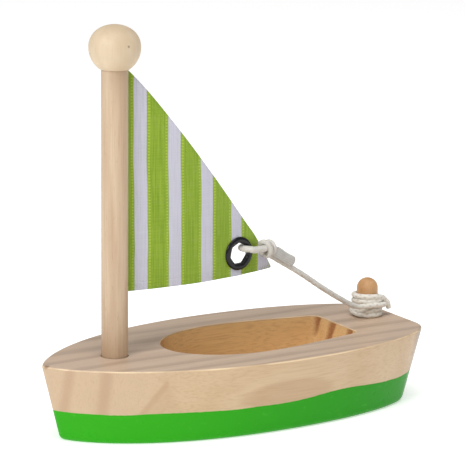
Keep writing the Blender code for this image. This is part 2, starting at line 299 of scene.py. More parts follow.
def hull_outline(inset):
    """The hull's plan, moved in from the deck's edge by `inset`."""
    stern = STERN_X + inset
    half_beam = HALF_BEAM - inset
    corner = TRANSOM_HALF - 0.42 * inset
    side = bezier(
        (stern, corner),
        (STERN_X + 12.0 + 0.5 * inset, 31.0 - 0.87 * inset),
        (STERN_X + 38.0, half_beam),
        (BEAM_X, half_beam),
        56,
    )
    stem = STEM_X - 1.05 * inset
    bow = bezier(
        (BEAM_X, half_beam),
        (BEAM_X + 64.2 - 0.25 * inset, half_beam),
        (stem, 4.3 - 0.25 * inset),
        (stem, 0.0),
        90,
    )
    transom = [(stern, (corner - TRANSOM_CORNER) * i / 6) for i in range(6)]
    turn = rounded_corner((stern, corner - TRANSOM_CORNER), side[0], side[9])
    return mirrored(transom + turn + side[10:] + bow[1:])


def cockpit_outline(outset):
    """The cockpit's plan, grown by `outset`."""
    aft = COCKPIT_AFT_X - outset
    half = COCKPIT_HALF + outset
    aft_half = COCKPIT_AFT_HALF + outset
    side = bezier(
        (aft, aft_half),
        (COCKPIT_AFT_X + 17.5, 17.8 + outset),
        (COCKPIT_WIDE_X - 16.5, half),
        (COCKPIT_WIDE_X, half),
        44,
    )
    front = COCKPIT_FRONT_X + outset - COCKPIT_WIDE_X
    nose = [(COCKPIT_WIDE_X + front * x, half * y) for x, y in arc((0, 0), 1, 90, 0, 60)]
    end_wall = [(aft, (aft_half - COCKPIT_CORNER) * i / 5) for i in range(5)]
    turn = rounded_corner((aft, aft_half - COCKPIT_CORNER), side[0], side[5])
    return mirrored(end_wall + turn + side[6:] + nose[1:])


def loft(levels):
    """One closed body through outlines of equal length, each given as (z, outline)."""
    bm = bmesh.new()
    rings = [[bm.verts.new((x, y, z)) for x, y in outline] for z, outline in levels]
    close_rings(bm, rings)
    return bm


def join_rings(bm, rings):
    for lower, upper in zip(rings, rings[1:]):
        for i in range(len(lower)):
            j = (i + 1) % len(lower)
            bm.faces.new((lower[i], lower[j], upper[j], upper[i]))


def close_rings(bm, rings):
    """Walls from ring to ring, and a face over the first and the last."""
    join_rings(bm, rings)
    bm.faces.new(rings[0])
    bm.faces.new(rings[-1])
    bmesh.ops.recalc_face_normals(bm, faces=bm.faces)


def lathe(profile, sides, closed=False):
    """A turned body about Z from a profile of (radius, z) that runs down its outer side."""
    bm = bmesh.new()
    rings = []
    for radius, z in profile:
        if radius < 1e-6:
            rings.append([bm.verts.new((0.0, 0.0, z))])
            continue
        turn = [(radius * math.cos(angle), radius * math.sin(angle)) for angle in around(sides)]
        rings.append([bm.verts.new((x, y, z)) for x, y in turn])
    pairs = list(zip(rings, rings[1:]))
    if closed:
        pairs.append((rings[-1], rings[0]))
    for upper, lower in pairs:
        for i in range(sides):
            j = (i + 1) % sides
            corners = [upper[i % len(upper)], upper[j % len(upper)]]
            corners += [lower[j % len(lower)], lower[i % len(lower)]]
            bm.faces.new(list(dict.fromkeys(corners)))
    bmesh.ops.recalc_face_normals(bm, faces=bm.faces)
    return bm


def cylinder_bm(radius, bottom, top, x=0.0, y=0.0, sides=96):
    bm = bmesh.new()
    middle = Matrix.Translation((x, y, (bottom + top) / 2))
    bmesh.ops.create_cone(
        bm,
        cap_ends=True,
        segments=sides,
        radius1=radius,
        radius2=radius,
        depth=top - bottom,
        matrix=middle,
    )
    return bm


def cut(obj, cutters):
    """Takes the cutters (meshes in millimetres) out of an object and applies the result."""
    tools = []
    for number, bm in enumerate(cutters):
        tool = finished(f"cutter_{number}", bm, obj.data.materials[0])
        boolean = obj.modifiers.new(f"cut {number}", "BOOLEAN")
        boolean.operation = "DIFFERENCE"
        boolean.object = tool
        tools.append(tool)
    apply_modifiers(obj)
    for tool in tools:
        bpy.data.objects.remove(tool)


def apply_modifiers(obj):
    bpy.context.view_layer.update()
    graph = bpy.context.evaluated_depsgraph_get()
    mesh = bpy.data.meshes.new_from_object(obj.evaluated_get(graph))
    obj.modifiers.clear()
    obj.data = mesh


def catmull_rom(points, per_span):
    """Points on a smooth curve through the given points."""
    route = [Vector(p) for p in points]
    ends = [2 * route[0] - route[1], *route, 2 * route[-1] - route[-2]]
    curve = []
    for a, b, c, d in zip(ends, ends[1:], ends[2:], ends[3:]):
        for i in range(per_span):
            t = i / per_span
            square = (2 * a - 5 * b + 4 * c - d) * t**2
            cube = (3 * b - a - 3 * c + d) * t**3
            curve.append(0.5 * (2 * b + (c - a) * t + square + cube))
    return curve + [route[-1]]


def evenly(points, step):
    """The same line with its points a fixed step apart."""
    lengths = [0.0]
    for a, b in zip(points, points[1:]):
        lengths.append(lengths[-1] + (b - a).length)
    count = max(2, round(lengths[-1] / step))
    result = []
    k = 0
    for i in range(count + 1):
        want = lengths[-1] * i / count
        while k < len(points) - 2 and lengths[k + 1] < want:
            k += 1
        share = (want - lengths[k]) / (lengths[k + 1] - lengths[k])
        result.append(points[k].lerp(points[k + 1], share))
    return result


def line_length(points):
    return sum((b - a).length for a, b in zip(points, points[1:]))


def directions(points):
    """The line's direction at each point."""
    pairs = zip(points[:1] + points[:-1], points[1:] + points[-1:])
    return [(after - before).normalized() for before, after in pairs]


def frames_along(points):
    """(side, up) at each point, carried along the line without twist."""
    frames = []
    side = None
    for tangent in directions(points):
        if side is None:
            side = tangent.cross(Vector((0, 0, 1))).normalized()
        side = (side - tangent * side.dot(tangent)).normalized()
        frames.append((side, tangent.cross(side)))
    return frames


def around(count):
    """Angles in radians, evenly spread over a full turn."""
    return [2 * math.pi * i / count for i in range(count)]


def swept(name, points, frames, section, material):
    """A body along a line. `section` lists (side, up, relief) round it at a way along it."""
    total = line_length(points)
    bm = bmesh.new()
    relief = bm.verts.layers.float.new("relief")
    rings = []
    for i, (point, (side, up)) in enumerate(zip(points, frames)):
        ring = []
        for aside, above, height in section(total * i / (len(points) - 1)):
            vert = bm.verts.new(point + side * aside + up * above)
            vert[relief] = height
            ring.append(vert)
        rings.append(ring)
    close_rings(bm, rings)
    return finished(name, bm, material, sharp_degrees=80.0)


def braid(angle, distance):
    """The height, 0 to 1, of a braid of six strands at an angle round it and a way along it."""
    phase = 2 * math.pi * distance / BRAID_PITCH
    one_way = 0.5 + 0.5 * math.cos(3 * angle + phase)
    other_way = 0.5 + 0.5 * math.cos(3 * angle - phase)
    return max(one_way, other_way) ** 0.7


def cord_mesh(name, centre, diameter, material, taper=0.0):
    """A braided cord along a centre line. `taper` rounds its ends over that length."""
    points = evenly(centre, CORD_STEP)
    total = line_length(points)

    def section(way):
        near_end = max(0.0, min(way, total - way))
        round_off = 1.0
        if near_end < taper:
            round_off = max(0.12, math.sqrt(1 - (1 - near_end / taper) ** 2))
        wander = CORD_WANDER * noise.noise(Vector((way * 0.45, 7.3, 0.0)))
        for angle in around(CORD_SIDES):
            height = braid(angle, way)
            radius = diameter / 2 * (1 + wander) - BRAID_DEPTH * (1 - height) + BRAID_CREST
            radius *= round_off
            yield radius * math.cos(angle), radius * math.sin(angle), height

    return swept(name, points, frames_along(points), section, material)


# ---------------------------------------------------------------- materials


def srgb(*levels):
    """A linear colour from its 0 to 255 display values."""
    shares = [level / 255 for level in levels]
    return tuple(((v + 0.055) / 1.055) ** 2.4 if v > 0.04 else v / 12.92 for v in shares)


class Value:
    """A node's output, so that a graph's sums can be written as sums."""

    def __init__(self, graph, socket):
        self.graph = graph
        self.socket = socket

    def __add__(self, other):
        return self.graph.math("ADD", self, other)

    def __sub__(self, other):
        return self.graph.math("SUBTRACT", self, other)

    def __mul__(self, other):
        return self.graph.math("MULTIPLY", self, other)

    def __truediv__(self, other):
        return self.graph.math("DIVIDE", self, other)

    def __radd__(self, other):
        return self.graph.math("ADD", other, self)

    def __rsub__(self, other):
        return self.graph.math("SUBTRACT", other, self)

    def __abs__(self):
        return self.graph.math("ABSOLUTE", self)


class Graph:
    """A material with a Principled shader, and short calls that add nodes and return values."""

    def __init__(self, name):
        self.material = bpy.data.materials.new(name)
        self.material.use_nodes = True
        self.nodes = self.material.node_tree.nodes
        self.links = self.material.node_tree.links
        self.shader = self.nodes["Principled BSDF"]

    def put(self, socket, value):
        if isinstance(value, Value):
            self.links.new(value.socket, socket)
        elif isinstance(value, tuple) and len(value) == 3 and socket.type == "RGBA":
            socket.default_value = (*value, 1.0)
        elif value is not None:
            socket.default_value = value

    def set(self, name, value):
        self.put(self.shader.inputs[name], value)

    def color(self, value):
        self.set("Base Color", value)

    def add(self, kind, *values, **settings):
        node = self.nodes.new(kind)
        for name, value in settings.items():
            setattr(node, name, value)
        for socket, value in zip(node.inputs, values):
            self.put(socket, value)
        return node

    def out(self, node, output=0):
        return Value(self, node.outputs[output])

    def math(self, operation, a, b=None):
        return self.out(self.add("ShaderNodeMath", a, b, operation=operation))

    def larger(self, a, b):
        return self.math("MAXIMUM", a, b)

    def wave(self, value, pitch):
        """A sine of a length, from -1 to 1 and back within one pitch."""
        return self.math("SINE", value * (2 * math.pi / pitch))

    def position(self, scale=1.0):
        """The surface point in millimetres times `scale`, which may differ per axis."""
        factors = scale if isinstance(scale, tuple) else (scale,) * 3
        place = self.out(self.add("ShaderNodeTexCoord"), "Object")
        thousand = tuple(f / MM for f in factors)
        return self.out(self.add("ShaderNodeVectorMath", place, thousand, operation="MULTIPLY"))

    def parts(self, vector):
        node = self.add("ShaderNodeSeparateXYZ", vector)
        return [self.out(node, axis) for axis in range(3)]

    def join(self, x, y, z):
        return self.out(self.add("ShaderNodeCombineXYZ", x, y, z))

    def normal_parts(self):
        return self.parts(self.out(self.add("ShaderNodeTexCoord"), "Normal"))

    def attribute(self, name):
        return self.out(self.add("ShaderNodeAttribute", attribute_name=name), "Fac")

    def noise(self, vector, detail=3.0, roughness=0.5):
        node = self.add("ShaderNodeTexNoise")
        self.put(node.inputs["Vector"], vector)
        node.inputs["Scale"].default_value = 1.0
        node.inputs["Detail"].default_value = detail
        node.inputs["Roughness"].default_value = roughness
        return self.out(node, "Fac")

    def grain(self, per_mm, detail=3.0, roughness=0.5):
        """Noise through the solid that changes `per_mm` times a millimetre, or so along each axis."""
        return self.noise(self.position(per_mm), detail, roughness)

    def smooth(self, value, low, high, to_low=0.0, to_high=1.0):
        """`to_low` where the value is `low`, easing over to `to_high` where it is `high`."""
        node = self.add("ShaderNodeMapRange", value, low, high, to_low, to_high)
        node.interpolation_type = "SMOOTHSTEP"
        return self.out(node)

    def mix(self, factor, a, b):
        """Colour `a` where the factor is 0 and colour `b` where it is 1."""
        node = self.nodes.new("ShaderNodeMix")
        node.data_type = "RGBA"
        self.put(node.inputs[0], factor)
        self.put(node.inputs[6], a)
        self.put(node.inputs[7], b)
        return self.out(node, 2)

    def ramp(self, value, stops):
        """A value read off straight lines between stops, each given as (from, to)."""
        node = self.add("ShaderNodeValToRGB", value)
        elements = node.color_ramp.elements
        while len(elements) < len(stops):
            elements.new(0.5)
        for element, (place, height) in zip(elements, stops):
            element.position = place
            element.color = (height, height, height, 1.0)
        return self.out(node)

    def bump(self, height, millimetres):
        """A relief that is `millimetres` deep where `height` goes from 0 to 1."""
        node = self.nodes.new("ShaderNodeBump")
        node.inputs["Strength"].default_value = 1.0
        node.inputs["Distance"].default_value = millimetres * MM
        self.put(node.inputs["Height"], height)
        self.set("Normal", self.out(node))


# The latewood bands of the hull's plank: (distance across the growth rings, width)
HULL_BANDS = (
    (-36.0, 1.0),
    (-25.5, 1.0),
    (-13.0, 1.7),
    (-1.6, 1.0),
    (10.0, 1.0),
    (20.5, 1.0),
    (30.0, 1.0),
    (36.5, 0.7),
)
# A band of width 1: (distance from its middle, darkness)
BAND_PROFILE = ((-3.2, 0.0), (-0.8, 1.0), (0.9, 1.0), (1.7, 0.0))
RING_SPAN = 45.0
RING_TILT = 0.479
RING_CURVE = -0.006
RING_WANDER = 9.0

# Dark figures on the hull's sides: upright bars at the bow as (x, half width, strength), an
# arrow head that widens downwards from its tip, and a flat lens
BOW_BARS = ((72.6, 2.4, 0.5), (62.0, 3.2, 0.55))
ARROW_TIP_X = 42.0
ARROW_TIP_Z = 28.3
ARROW_FORE_SLOPE = 0.6
ARROW_AFT_SLOPE = 0.52
LENS_X = -7.0
LENS_Z = 15.5
LENS_HALF_LENGTH = 22.0
LENS_HALF_HEIGHT = 7.0

# The green paint's height, and where its edge swells upwards: (x, reach, rise)
PAINT_Z = 12.0
PAINT_SWELLS = ((-33.0, 17.0, 1.7), (40.0, 12.0, 0.5))

# Small dark stains on the deck: (place, radius)
STAINS = (((77.9, 1.2, HULL_HEIGHT), 1.5), ((-70.5, 26.9, HULL_HEIGHT), 1.3))


def hull_rings(graph):
    """0 between the plank's growth rings and 1 on their dark latewood bands."""
    _, y, z = graph.parts(graph.position())
    tilt = y * RING_CURVE + RING_TILT
    drop = (HULL_HEIGHT - z) * tilt
    wobble = graph.grain((0.012, 0.035, 0.05), 2.0) - 0.5
    across = y + drop + wobble * RING_WANDER
    share = (across + RING_SPAN) / (2 * RING_SPAN)
    stops = []
    for band, width in HULL_BANDS:
        for offset, darkness in BAND_PROFILE:
            stops.append(((band + offset * width + RING_SPAN) / (2 * RING_SPAN), darkness))
    return graph.ramp(share, stops)


def near_line(graph, value, half_width):
    """1 where the value is close to 0, fading out to 0 at the half width."""
    return graph.smooth(abs(value), half_width, 0.1 * half_width)


def side_figure(graph, x, z):
    """The dark grain figures on the sides: two bars at the bow, an arrow head and a flat lens."""
    bars = [near_line(graph, x - bar, half) * strength for bar, half, strength in BOW_BARS]
    drop = ARROW_TIP_Z - z
    fore_x = ARROW_TIP_X + drop * ARROW_FORE_SLOPE
    aft_x = ARROW_TIP_X - drop * ARROW_AFT_SLOPE
    behind_fore = graph.smooth(fore_x - x, 0.0, 1.5)
    before_aft = graph.smooth(x - aft_x, 0.0, 3.0)
    flank = near_line(graph, x - (fore_x - 2.0), 2.6)
    darkness = flank * 0.6 + 0.4
    arrow = darkness * behind_fore * before_aft * 0.45
    lens_x = (x - LENS_X) / LENS_HALF_LENGTH
    lens_z = (z - LENS_Z) / LENS_HALF_HEIGHT
    away = lens_x * lens_x + lens_z * lens_z
    lens = graph.smooth(away, 1.0, 0.5, 0.0, 0.4)
    return graph.larger(graph.larger(graph.larger(*bars), arrow), lens)


def paint_line(graph, x):
    """The height of the green paint's upper edge along the hull."""
    line = graph.smooth(x, -62.0, -76.0, 0.0, 1.2) + PAINT_Z
    for middle, reach, rise in PAINT_SWELLS:
        away = (x - middle) / reach
        line += graph.math("EXPONENT", away * away * -1.0) * rise
    return line + (graph.grain((0.05, 0.09, 0.0), 2.0) - 0.5) * 0.9


def spot(graph, place, size):
    """1 on a small stain at a place, fading to 0 at its edge."""
    away = graph.add("ShaderNodeVectorMath", graph.position(), place, operation="DISTANCE")
    return graph.smooth(graph.out(away, "Value"), size, size * 0.3)


def cockpit_mask(graph, x, y, z):
    """1 within the cockpit's length and width and below its rim, and 0 elsewhere."""
    below = graph.smooth(z, HULL_HEIGHT - 0.3, HULL_HEIGHT - 0.8)
    abreast = graph.smooth(abs(y), COCKPIT_HALF + 2.6, COCKPIT_HALF + 0.6)
    aft = graph.smooth(x, COCKPIT_AFT_X - 2.6, COCKPIT_AFT_X - 1.1)
    fore = graph.smooth(x, COCKPIT_FRONT_X + 2.3, COCKPIT_FRONT_X + 0.8)
    return abreast * below * (aft * fore)


def pine_tone(graph, x, level, pocket, fibres):
    """The pine's own colour on the sides, the deck and in the cockpit, with darker fibres."""
    broad = graph.grain((0.02, 0.16, 0.16), 2.0)
    side = graph.mix(broad, srgb(208, 181, 147), srgb(197, 168, 131))
    deck = graph.mix(broad, srgb(214, 189, 164), srgb(193, 168, 146))
    cockpit = graph.mix(broad, srgb(242, 206, 152), srgb(226, 188, 132))
    wood = graph.mix(pocket, graph.mix(level, side, deck), cockpit)
    streaks = graph.smooth(fibres, 0.42, 0.72) * graph.smooth(x, 65.0, 30.0, 0.35, 1.0)
    return graph.mix(streaks * 0.35, wood, srgb(168, 130, 96))


def with_long_grain(graph, wood, rings, x, z, level, pocket):
    """Adds the growth rings on the deck and the sides, and the sides' dark figures."""
    upright = 1 - level
    deck_rings = rings * level * 0.38
    wood = graph.mix(deck_rings, wood, srgb(152, 128, 106))
    side_rings = rings * upright * graph.smooth(x, 60.0, 30.0, 0.0, 0.12)
    wood = graph.mix(side_rings, wood, srgb(176, 130, 84))
    figure = side_figure(graph, x, z) * upright * (1 - pocket)
    return graph.mix(figure, wood, srgb(168, 128, 92))


def with_end_grain(graph, wood, rings, x, normal_x, level, pocket):
    """Adds the greyer bow, painted shade on the transom, which faces away from the key light, and the
    rings where the cut crosses the grain.
    """
    at_bow = graph.smooth(x, 30.0, 60.0) * (1 - level)
    sanded = graph.smooth(graph.grain((2.2, 2.2, 0.05), 3.0, 0.6), 0.5, 0.72, 0.0, 0.3)
    wood = graph.mix(sanded * at_bow, wood, srgb(164, 132, 102))
    # Painted shade: the aft-facing transom is darkened towards grey, as if it were turned away from the
    # key light.
    transom = graph.smooth(normal_x, -0.1, -0.5) * graph.smooth(x, -68.0, -75.0)
    wood = graph.mix(transom * 0.95, wood, srgb(134, 116, 100))
    end_grain = graph.smooth(abs(normal_x), 0.45, 0.95)
    speckle = graph.smooth(graph.grain((0.5, 3.0, 3.0), 2.0), 0.35, 0.62, 0.65, 1.0)
    end_rings = rings * end_grain * (speckle * 0.85)
    end_rings = end_rings * graph.larger(pocket, transom * 0.3)
    wood = graph.mix(end_rings, wood, srgb(142, 72, 36))
    return graph.mix(at_bow * 0.35, wood, srgb(190, 164, 140))


def with_edge_highlight_and_stains(graph, wood, z, normal_z, pocket):
    """Adds a painted highlight, a pale patchy line along the deck's rounded outer edge, and small
    stains.
    """
    # Painted highlight: the rounded deck edge, facing out and up, is lightened in patches as if it
    # caught the light.
    edge = graph.smooth(normal_z, 0.12, 0.35) * graph.smooth(normal_z, 0.92, 0.7)
    near_deck = graph.smooth(z, 28.4, 28.9)
    edge = edge * near_deck * (1 - pocket)
    bright_patches = graph.smooth(graph.grain((0.06, 0.1, 0.0), 2.0), 0.4, 0.6, 0.15, 0.6)
    wood = graph.mix(edge * bright_patches, wood, srgb(250, 226, 186))
    stains = graph.larger(*[spot(graph, place, size) for place, size in STAINS])
    return graph.mix(stains * 0.7, wood, srgb(120, 78, 48))


def paint_colour(graph, x):
    """Grass green, a little lighter towards the bow and in small flecks."""
    paint = graph.mix(graph.smooth(x, -75.0, 75.0), srgb(30, 142, 5), srgb(46, 165, 14))
    flecks = graph.smooth(graph.grain((0.25, 0.6, 0.6)), 0.6, 0.78)
    return graph.mix(flecks * 0.3, paint, srgb(90, 190, 60))


def paint_mask(graph, x, z, pocket):
    """1 below the paint's slightly ragged edge, except where the cockpit's mask is."""
    ragged = graph.grain((0.7, 0.7, 0.2), 2.0) - 0.5
    line = paint_line(graph, x) + ragged * 0.35
    return graph.smooth(z - line, 0.16, -0.16) * (1 - pocket)


def finish_hull(graph, z, painted, pocket, fibres):
    """The gloss of lacquer and paint, and a relief of fibres, cutter marks and paint."""
    gloss = graph.grain(0.12)
    wood_gloss = graph.smooth(gloss, 0.2, 0.8, 0.34, 0.5)
    paint_gloss = graph.smooth(gloss, 0.2, 0.8, 0.26, 0.38)
    difference = (paint_gloss - wood_gloss) * painted
    graph.set("Roughness", wood_gloss + difference)
    graph.set("Specular IOR Level", painted * -0.25 + 0.4)
    graph.set("Coat Weight", painted * -0.25 + 0.25)
    graph.set("Coat Roughness", 0.15)
    marks = graph.wave(z, CUTTER_PITCH) * pocket * 0.12
    orange_peel = graph.grain(0.8, 2.0) * (painted * 0.5)
    relief = fibres * (1 - painted * 0.7) + marks
    relief = relief + orange_peel + painted * 1.5
    graph.bump(relief, 0.05)


def hull_material():
    """Clear-lacquered pine with growth rings, and dipped green paint on the lower part."""
    graph = Graph("lacquered pine and green paint")
    x, y, z = graph.parts(graph.position())
    normal_x, _, normal_z = graph.normal_parts()
    level = graph.smooth(abs(normal_z), 0.6, 0.95)
    pocket = cockpit_mask(graph, x, y, z)
    rings = hull_rings(graph)
    fibres = graph.grain((0.035, 1.6, 1.6), 4.0, 0.6)
    wood = pine_tone(graph, x, level, pocket, fibres)
    wood = with_long_grain(graph, wood, rings, x, z, level, pocket)
    wood = with_end_grain(graph, wood, rings, x, normal_x, level, pocket)
    wood = with_edge_highlight_and_stains(graph, wood, z, normal_z, pocket)
    painted = paint_mask(graph, x, z, pocket)
    graph.color(graph.mix(painted, wood, paint_colour(graph, x)))
    finish_hull(graph, z, painted, pocket, fibres)
    return graph.material


def turned_wood(name, light, dark, streak, streak_share, tone_scale, grain=0.25, speck=None):
    """Beech: upright fibres, short dark pores, and a satin surface."""
    graph = Graph(name)
    broad = graph.grain((tone_scale, tone_scale, 0.018))
    fibres = graph.grain((1.7, 1.7, 0.045), 4.0, 0.6)
    pores = graph.grain((2.6, 2.6, 0.32), 2.0)
    wood = graph.mix(graph.smooth(broad, 0.3, 0.7), light, dark)
    wood = graph.mix(graph.smooth(fibres, 0.45, 0.75) * grain, wood, streak)
    wood = graph.mix(graph.smooth(pores, 0.64, 0.72) * streak_share, wood, streak)
    if speck:
        wood = graph.mix(spot(graph, speck, 0.7) * 0.6, wood, srgb(96, 66, 44))
    graph.color(wood)
    graph.set("Roughness", graph.smooth(fibres, 0.3, 0.7, 0.42, 0.56))
    graph.bump(fibres - pores * 0.6, 0.05)
    return graph.material


def stripe_place(graph, u, v):
    """How far across its pair of stripes the cloth is, from where the white stripe starts."""
    waver = graph.noise(graph.join(0.0, v * 0.06, 0.0), 2.0) - 0.5
    lean = graph.smooth(v, 75.0, 105.0, 0.0, 0.5)
    across = u + lean + waver * 0.7
    return graph.math("FLOORED_MODULO", across - FIRST_GREEN, STRIPE_PITCH)


def white_mask(graph, u, v, in_stripe):
    """1 on the white stripes, with one edge combed by the weave, and on all of the clew."""
    pick = graph.math("FLOORED_MODULO", v * (1 / WEAVE_PITCH), 1.0)
    comb = abs(pick - 0.5) * 0.7
    white_on = graph.smooth(in_stripe, -0.10, 0.22)
    white_off = graph.smooth(in_stripe + comb, WHITE_WIDTH - 0.05, WHITE_WIDTH + 0.25)
    white = white_on * (1 - white_off)
    clew_edge = FIRST_GREEN + 4 * STRIPE_PITCH
    return graph.larger(white, graph.smooth(u, clew_edge - 0.1, clew_edge + 0.2))


def canvas_colour(graph, u, v, white, warp, threads):
    """The two yarns, each uneven from thread to thread."""
    flat_point = graph.join(u * 0.5, v * 0.5, 6.0)
    mottle = graph.smooth(graph.noise(flat_point), 0.5, 0.75)
    tone = graph.smooth(threads, 0.35, 0.65)
    green = graph.mix(tone, srgb(120, 152, 32), srgb(146, 174, 52))
    green = graph.mix(mottle * 0.35, green, srgb(148, 164, 84))
    pale = graph.mix(tone, srgb(188, 189, 200), srgb(208, 206, 216))
    pale = graph.mix(graph.smooth(warp, 0.45, 0.7), pale, srgb(198, 194, 211))
    return graph.mix(white, green, pale)


def lime_thread(graph, v, in_stripe):
    """The strength of the dotted lime thread on both sides of each white stripe."""
    dots = graph.smooth(graph.wave(v, DOT_PITCH), -0.1, 0.7)
    from_left = abs(in_stripe - (WHITE_WIDTH + 0.75))
    from_right = abs(in_stripe - (STRIPE_PITCH - 0.55))
    left = graph.smooth(from_left, 0.62, 0.2) * 0.75
    right = graph.smooth(from_right, 0.5, 0.2) * 0.7
    return (left + right) * (dots * 0.75 + 0.2)


def sail_material():
    """Striped cotton canvas: woven stripes, a dotted lime thread at their edges, and a hem."""
    graph = Graph("striped canvas")
    u, v, _ = graph.parts(graph.out(graph.add("ShaderNodeUVMap")))
    in_stripe = stripe_place(graph, u, v)
    white = white_mask(graph, u, v, in_stripe)
    warp_point = graph.join(u * 2.4, v * 0.05, 0.0)
    weft_point = graph.join(u * 0.05, v * 2.4, 3.0)
    warp = graph.noise(warp_point, 3.0, 0.6)
    weft = graph.noise(weft_point, 3.0, 0.6)
    threads = warp * 0.75 + weft * 0.25
    cloth = canvas_colour(graph, u, v, white, warp, threads)
    cloth = graph.mix(lime_thread(graph, v, in_stripe), cloth, srgb(182, 204, 74))

    hem = graph.attribute("hem")
    hem_colour = graph.mix(white, srgb(92, 128, 30), srgb(176, 178, 190))
    cloth = graph.mix(graph.smooth(hem, 0.9, 0.0) * 0.3, cloth, hem_colour)
    stitch = graph.wave(u + v * 0.4, STITCH_PITCH)
    stitched = graph.smooth(stitch, 0.0, 0.6) * graph.attribute("clew_stitch")
    graph.color(graph.mix(stitched, cloth, srgb(128, 132, 84)))
    graph.set("Roughness", 0.88)
    graph.set("Sheen Weight", 0.25)
    graph.set("Sheen Roughness", 0.5)
    graph.set("Specular IOR Level", 0.25)

    weave = graph.wave(u, WEAVE_PITCH) * graph.wave(v, WEAVE_PITCH) * 0.5
    seam = graph.smooth(abs(hem - HEM_WIDTH), 0.5, 0.0) * -0.8
    graph.bump(weave + threads * 1.2 + seam, 0.1)
    return graph.material


def eyelet_material(name, tone):
    """Black enamelled metal with slightly worn, brighter high spots."""
    graph = Graph(name)
    bright_patches = graph.grain(0.9, 3.0, 0.6)
    graph.color(graph.mix(graph.smooth(bright_patches, 0.55, 0.8), srgb(*tone), srgb(30, 28, 34)))
    graph.set("Roughness", graph.smooth(bright_patches, 0.3, 0.8, 0.16, 0.3))
    graph.set("Specular IOR Level", 0.35)
    graph.bump(graph.grain(2.5, 2.0), 0.03)
    return graph.material


def cord_material(name, light, dark, groove_shade):
    """Braided cotton with fine fibres and soft fuzz, painted shade in the braid's grooves, and paler
    from where it nears the peg.
    """
    graph = Graph(name)
    relief = graph.attribute("relief")
    tone = graph.grain(0.35, 2.0)
    fibres = graph.grain(5.0, 3.0, 0.65)
    yarn = graph.mix(graph.smooth(tone, 0.3, 0.7), light, dark)
    x, _, _ = graph.parts(graph.position())
    at_peg = graph.smooth(x, PALE_CORD_X, PALE_CORD_X - 7.0, 0.0, 0.6)
    yarn = graph.mix(at_peg, yarn, srgb(244, 239, 226))
    # Painted shade: where the braid's relief is low, in the grooves between strands, the cord takes the
    # darker groove colour.
    yarn = graph.mix(graph.smooth(relief, 0.75, 0.15), yarn, groove_shade)
    yarn = graph.mix(graph.smooth(fibres, 0.5, 0.75) * 0.3, yarn, srgb(240, 238, 232))
    graph.color(yarn)
    graph.set("Roughness", 0.8)
    graph.set("Sheen Weight", 0.4)
    graph.set("Sheen Roughness", 0.4)
    graph.set("Specular IOR Level", 0.3)
    graph.bump(fibres, 0.10)
    return graph.material


# ---------------------------------------------------------------- wooden pieces


def hull_levels():
    """The flared side with a small round at the deck's edge and a larger one at the bottom."""
    lean = math.atan2(FLARE, HULL_HEIGHT)
    lean_degrees = math.degrees(lean)
    sheer_z = HULL_HEIGHT - SHEER_RADIUS
    chine_inset = SHEER_RADIUS + (sheer_z - CHINE_RADIUS) * math.tan(lean)
    chine_inset += (CHINE_RADIUS - SHEER_RADIUS) / math.cos(lean)
    levels = []
    for radius, z, inset, start, end in (
        (CHINE_RADIUS, CHINE_RADIUS, chine_inset, -90, -lean_degrees),
        (SHEER_RADIUS, sheer_z, SHEER_RADIUS, -lean_degrees, 90),
    ):
        for out, up in arc((0, 0), radius, start, end, 10):
            levels.append((z + up, hull_outline(inset - out)))
    return levels


def cockpit_levels():
    levels = []
    for out, up in arc((0, 0), COCKPIT_FLOOR_RADIUS, -90, 0, 10):
        z = COCKPIT_FLOOR_Z + COCKPIT_FLOOR_RADIUS + up
        levels.append((z, cockpit_outline(out - COCKPIT_FLOOR_RADIUS)))
    for out, up in arc((0, 0), COCKPIT_RIM_RADIUS, 180, 96, 7):
        z = HULL_HEIGHT - COCKPIT_RIM_RADIUS + up
        levels.append((z, cockpit_outline(COCKPIT_RIM_RADIUS + out)))
    levels.append((HULL_HEIGHT + 2.0, cockpit_outline(COCKPIT_RIM_RADIUS)))
    return levels


def make_hull():
    hull = finished("hull_wood", loft(hull_levels()), hull_material())
    above = HULL_HEIGHT + 2.0
    mast_hole = cylinder_bm(MAST_RADIUS + SOCKET_GAP, HULL_HEIGHT - SOCKET_DEPTH, above, MAST_X)
    peg_hole = cylinder_bm(
        PEG_RADIUS + SOCKET_GAP, HULL_HEIGHT - PEG_SOCKET_DEPTH, above, PEG_X, PEG_Y, 72
    )
    cut(hull, [loft(cockpit_levels()), mast_hole, peg_hole])
    shade(hull, 35.0, flat_caps=True)
    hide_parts("hull")
    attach(hull, "boat")


def make_mast():
    """A dowel with a sawn slot for the sail, and a slightly eased foot and slot edges."""
    wood = turned_wood(
        "beech dowel", srgb(209, 185, 156), srgb(194, 166, 137), srgb(160, 122, 92), 0.3, 0.22
    )
    mast = finished("mast_dowel", cylinder_bm(MAST_RADIUS, MAST_LOW.z, MAST_HIGH.z, MAST_X), wood)
    bottom = TACK_Z - 0.3
    top = MAST_HIGH.z + 2.0
    bm = bmesh.new()
    size = Matrix.Diagonal((2 * SLOT_DEPTH, SLOT_WIDTH, top - bottom, 1.0))
    place = Matrix.Translation((CLOTH_X, 0.0, (bottom + top) / 2))
    bmesh.ops.create_cube(bm, size=1.0, matrix=place @ size)
    cut(mast, [bm])
    bevel = mast.modifiers.new("ease", "BEVEL")
    bevel.width = 0.15 * MM
    bevel.segments = 2
    bevel.limit_method = "ANGLE"
    bevel.angle_limit = math.radians(50)
    apply_modifiers(mast)
    shade(mast, 35.0, flat_caps=False)
    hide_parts("mast")
    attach(mast, "rig")


